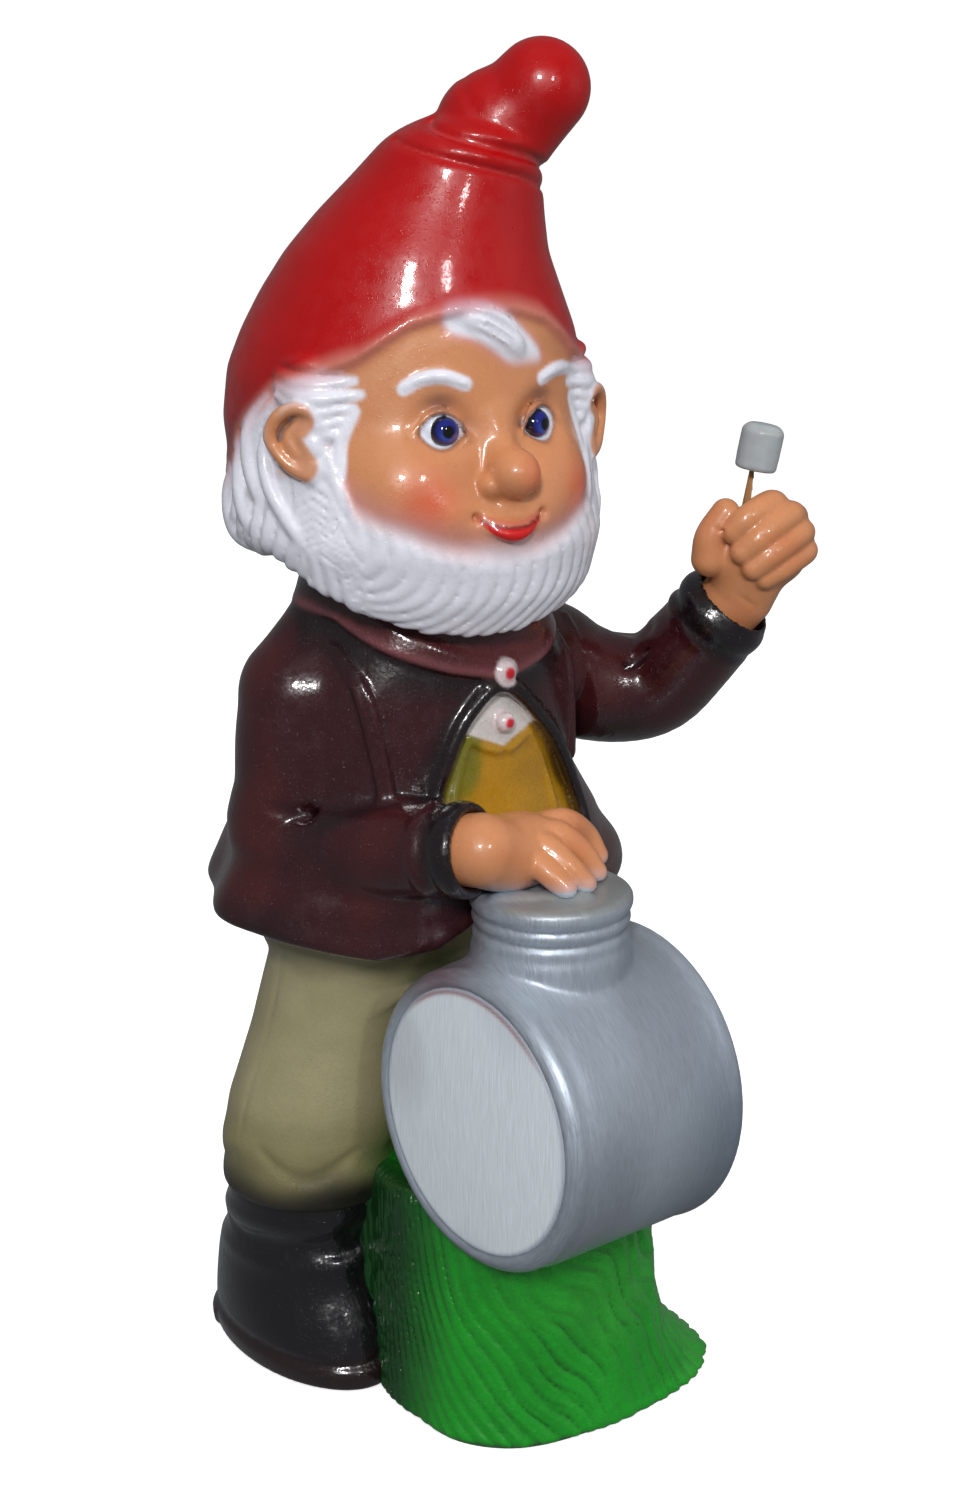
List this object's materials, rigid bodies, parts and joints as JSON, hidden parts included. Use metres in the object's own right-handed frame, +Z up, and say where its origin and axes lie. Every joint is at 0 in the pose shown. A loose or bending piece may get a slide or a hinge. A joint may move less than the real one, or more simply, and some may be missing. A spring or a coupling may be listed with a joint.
{
  "type": "garden gnome",
  "caption": "Hollow moulded garden gnome on a grass mound, resting one hand on cymbals that top a bass drum and holding up a mallet.",
  "frame": {"origin": "on the flat underside of the base plate, below the neck", "axes": "+Z up, the gnome faces -Y, his left hand is on +X"},
  "size_m": [0.243, 0.2591, 0.5895],
  "materials": {
    "jacket": "sprayed maroon-brown gloss",
    "trousers": "sprayed olive beige gloss",
    "boots": "sprayed black gloss",
    "grass": "sprayed green gloss",
    "skin": "sprayed skin tone, gloss",
    "hat_and_face": "sprayed red hat, skin and white beard, gloss",
    "drum_silver": "silver paint, brushed on",
    "drumhead": "off-white paint, brushed on",
    "stick_wood": "plain dowel",
    "beater_plastic": "cloudy white moulded plastic",
    "eye_plastic": "polished deep blue",
    "washer_steel": "zinc plated",
    "plate_plastic": "unpainted green"
  },
  "bodies": {
    "figure": {"torso_shell": "jacket", "legs_shell": "trousers", "right_boot": "boots", "left_boot": "boots", "grass_base": "grass", "base_plate": "plate_plastic", "right_arm_shell": "jacket", "right_hand": "skin", "drum_shell": "drum_silver", "drum_head_right": "drumhead", "drum_head_left": "drumhead", "lower_cymbal": "drum_silver", "upper_cymbal": "drum_silver"},
    "head": {"head_shell": "hat_and_face", "right_eye": "eye_plastic", "left_eye": "eye_plastic", "right_eye_washer": "washer_steel", "left_eye_washer": "washer_steel"},
    "left_arm": {"left_arm_shell": "jacket", "left_hand": "skin"},
    "mallet": {"mallet_stick": "stick_wood", "mallet_head": "beater_plastic"},
    "bung": {"filler_plug": "plate_plastic"}
  },
  "joints": [
    {"name": "head_turn", "type": "hinge", "parent": "figure", "child": "head", "pos_m": [0, -0.005, 0.384], "axis": [0, 0, 1], "range_deg": [-15, 15]},
    {"name": "left_arm_swing", "type": "hinge", "parent": "figure", "child": "left_arm", "pos_m": [0.058, 0.004, 0.325], "axis": [1, 0, 0], "range_deg": [-20, 35]},
    {"name": "mallet_pull", "type": "slide", "parent": "left_arm", "child": "mallet", "axis": [0.1436, -0.1122, 0.9833], "range_m": [0, 0.06]},
    {"name": "bung_pull", "type": "slide", "parent": "figure", "child": "bung", "axis": [0, 0, -1], "range_m": [0, 0.02]}
  ]
}
